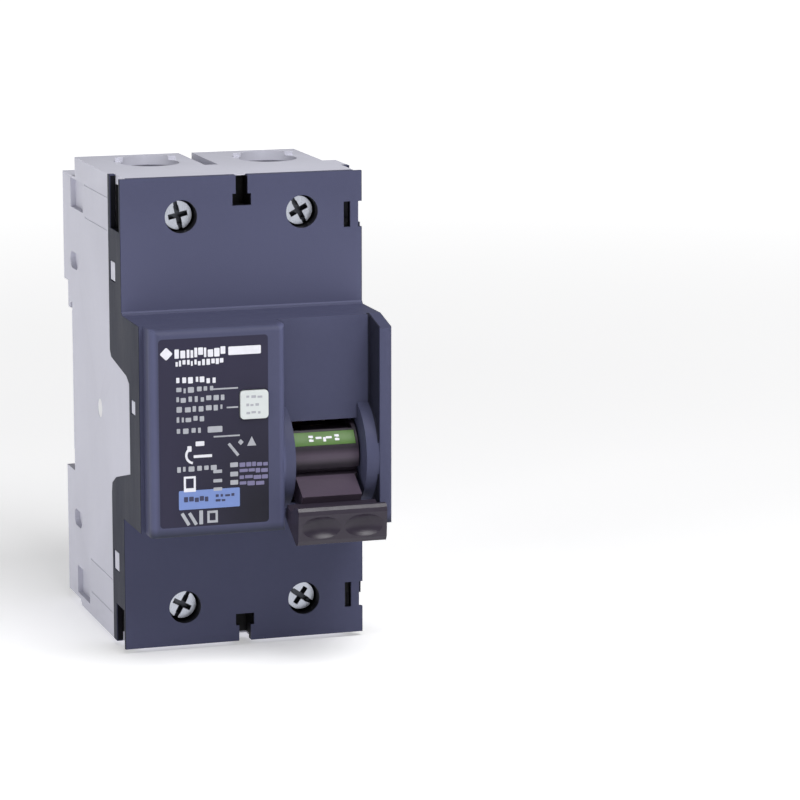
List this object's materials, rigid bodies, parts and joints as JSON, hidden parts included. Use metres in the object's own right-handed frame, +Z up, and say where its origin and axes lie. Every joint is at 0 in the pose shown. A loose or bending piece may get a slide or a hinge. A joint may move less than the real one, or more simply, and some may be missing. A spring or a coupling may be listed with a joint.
{
  "type": "residual current device",
  "caption": "Rail-mounted residual current switch: grey case, dark stepped cover, wide toggle, test button, clamp terminals and a trip mechanism inside.",
  "frame": {"origin": "middle of the plane where the device seats on its rail", "axes": "+Z up, front towards -Y, the rail runs along X"},
  "size_m": [0.054, 0.085, 0.1048],
  "materials": {
    "case_plastic": "fine matt moulded grey",
    "cover_plastic": "satin slate grey",
    "label_film": "printed film",
    "toggle_plastic": "satin",
    "grip_plastic": "satin dark",
    "indicator_paint": "satin green",
    "seal_plastic": "matt light grey",
    "clip_plastic": "matt light grey",
    "steel": "zinc plated",
    "screw_steel": "zinc plated",
    "spring_steel": "drawn wire",
    "plated_brass": "plain",
    "copper": "plain copper",
    "enamelled_wire": "enamelled copper wire",
    "bobbin_plastic": "natural nylon",
    "blue_plastic": "moulded blue",
    "dark_plastic": "moulded black",
    "bimetal": "rolled strip",
    "core_steel": "wound tape",
    "relay_plastic": "moulded",
    "board_laminate": "solder-masked laminate",
    "button_plastic": "satin white",
    "resistor_body": "lacquered"
  },
  "bodies": {
    "case": {"left_outer_shell": "case_plastic", "left_inner_shell": "case_plastic", "right_inner_shell": "case_plastic", "right_outer_shell": "case_plastic", "front_cover": "cover_plastic", "rating_label": "label_film", "case_rivets": "steel", "left_upper_seal": "seal_plastic", "right_upper_seal": "seal_plastic", "left_lower_seal": "seal_plastic", "right_lower_seal": "seal_plastic", "left_clip_spring": "spring_steel", "right_clip_spring": "spring_steel", "toggle_pin": "steel", "toggle_spring": "spring_steel", "mechanism_frame": "steel", "left_fixed_contact": "copper", "right_fixed_contact": "copper", "left_lower_terminal": "copper", "right_lower_terminal": "copper", "neutral_conductor": "copper", "phase_conductor": "copper", "left_arc_chute": "steel", "right_arc_chute": "steel", "left_braid": "copper", "right_braid": "copper", "trip_coil": "enamelled_wire", "coil_bobbin": "bobbin_plastic", "coil_yoke": "steel", "plunger_spring": "spring_steel", "bimetal_strip": "bimetal", "sensing_core": "core_steel", "sensing_winding": "enamelled_wire", "trip_relay": "relay_plastic", "circuit_board": "board_laminate", "test_button_spring": "spring_steel", "test_contact": "steel", "test_resistor": "resistor_body"},
    "toggle": {"toggle_handle": "toggle_plastic", "handle_grip": "grip_plastic", "contact_indicator": "indicator_paint"},
    "link": {"link_rod": "steel"},
    "contact_carrier": {"contact_shaft": "dark_plastic", "left_contact_arm": "copper", "right_contact_arm": "copper"},
    "latch_lever": {"latch": "steel"},
    "release_bar": {"trip_bar": "blue_plastic"},
    "plunger": {"trip_plunger": "steel"},
    "relay_plunger": {"relay_pin": "steel"},
    "button": {"test_button": "button_plastic"},
    "left_upper_clamp_screw": {"left_upper_screw": "screw_steel"},
    "left_upper_clamp_cage": {"left_upper_cage": "plated_brass"},
    "left_lower_clamp_screw": {"left_lower_screw": "screw_steel"},
    "left_lower_clamp_cage": {"left_lower_cage": "plated_brass"},
    "left_clip": {"left_rail_clip": "clip_plastic"},
    "right_upper_clamp_screw": {"right_upper_screw": "screw_steel"},
    "right_upper_clamp_cage": {"right_upper_cage": "plated_brass"},
    "right_lower_clamp_screw": {"right_lower_screw": "screw_steel"},
    "right_lower_clamp_cage": {"right_lower_cage": "plated_brass"},
    "right_clip": {"right_rail_clip": "clip_plastic"}
  },
  "joints": [
    {"name": "toggle_swing", "type": "hinge", "parent": "case", "child": "toggle", "pos_m": [0.0135, -0.0575, -0.008], "axis": [-1, 0, 0], "range_deg": [0, 85], "deforming": ["toggle_spring"]},
    {"name": "link_swing", "type": "hinge", "parent": "toggle", "child": "link", "pos_m": [0.0088, -0.0575, -0.0034], "axis": [-1, 0, 0], "range_deg": [-85, 0]},
    {"name": "contact_swing", "type": "hinge", "parent": "case", "child": "contact_carrier", "pos_m": [0, -0.036, -0.012], "axis": [-1, 0, 0], "range_deg": [0, 14], "deforming": ["left_braid", "right_braid"]},
    {"name": "trip_bar_swing", "type": "hinge", "parent": "case", "child": "release_bar", "pos_m": [0, -0.0445, 0.012], "axis": [1, 0, 0], "range_deg": [0, 8], "stiffness_Nm_per_rad": 0.003},
    {"name": "latch_swing", "type": "hinge", "parent": "case", "child": "latch_lever", "pos_m": [0.0168, -0.0455, 0.001], "axis": [1, 0, 0], "range_deg": [-12, 0]},
    {"name": "plunger_slide", "type": "slide", "parent": "case", "child": "plunger", "axis": [0, 1, 0], "range_m": [0, 0.0022], "stiffness_N_per_m": 20, "deforming": ["plunger_spring"]},
    {"name": "relay_pin_slide", "type": "slide", "parent": "case", "child": "relay_plunger", "axis": [0, 1, 0], "range_m": [0, 0.0015], "stiffness_N_per_m": 20},
    {"name": "test_button_slide", "type": "slide", "parent": "case", "child": "button", "axis": [0, 1, 0], "range_m": [0, 0.0015], "stiffness_N_per_m": 100, "deforming": ["test_button_spring"]},
    {"name": "left_upper_screw_turn", "type": "hinge", "parent": "case", "child": "left_upper_clamp_screw", "pos_m": [-0.0135, -0.0448, 0.043], "axis": [0, 1, 0], "range_deg": [0, 2520]},
    {"name": "left_upper_cage_slide", "type": "slide", "parent": "case", "child": "left_upper_clamp_cage", "axis": [0, -1, 0], "range_m": [0, 0.007]},
    {"name": "left_lower_screw_turn", "type": "hinge", "parent": "case", "child": "left_lower_clamp_screw", "pos_m": [-0.0135, -0.0448, -0.043], "axis": [0, 1, 0], "range_deg": [0, 2520]},
    {"name": "left_lower_cage_slide", "type": "slide", "parent": "case", "child": "left_lower_clamp_cage", "axis": [0, -1, 0], "range_m": [0, 0.007]},
    {"name": "left_clip_slide", "type": "slide", "parent": "case", "child": "left_clip", "axis": [0, 0, -1], "range_m": [0, 0.004], "stiffness_N_per_m": 400, "deforming": ["left_clip_spring"]},
    {"name": "right_upper_screw_turn", "type": "hinge", "parent": "case", "child": "right_upper_clamp_screw", "pos_m": [0.0135, -0.0448, 0.043], "axis": [0, 1, 0], "range_deg": [0, 2520]},
    {"name": "right_upper_cage_slide", "type": "slide", "parent": "case", "child": "right_upper_clamp_cage", "axis": [0, -1, 0], "range_m": [0, 0.007]},
    {"name": "right_lower_screw_turn", "type": "hinge", "parent": "case", "child": "right_lower_clamp_screw", "pos_m": [0.0135, -0.0448, -0.043], "axis": [0, 1, 0], "range_deg": [0, 2520]},
    {"name": "right_lower_cage_slide", "type": "slide", "parent": "case", "child": "right_lower_clamp_cage", "axis": [0, -1, 0], "range_m": [0, 0.007]},
    {"name": "right_clip_slide", "type": "slide", "parent": "case", "child": "right_clip", "axis": [0, 0, -1], "range_m": [0, 0.004], "stiffness_N_per_m": 400, "deforming": ["right_clip_spring"]}
  ],
  "couplings": [
    {"joint": "link_swing", "follows": "toggle_swing", "ratio": -1},
    {"joint": "contact_swing", "follows": "toggle_swing", "ratio": 0.16471},
    {"joint": "latch_swing", "follows": "trip_bar_swing", "ratio": -1.5},
    {"joint": "left_upper_screw_turn", "follows": "left_upper_cage_slide", "rad_per_m": 6283.2},
    {"joint": "left_lower_screw_turn", "follows": "left_lower_cage_slide", "rad_per_m": 6283.2},
    {"joint": "right_upper_screw_turn", "follows": "right_upper_cage_slide", "rad_per_m": 6283.2},
    {"joint": "right_lower_screw_turn", "follows": "right_lower_cage_slide", "rad_per_m": 6283.2}
  ]
}
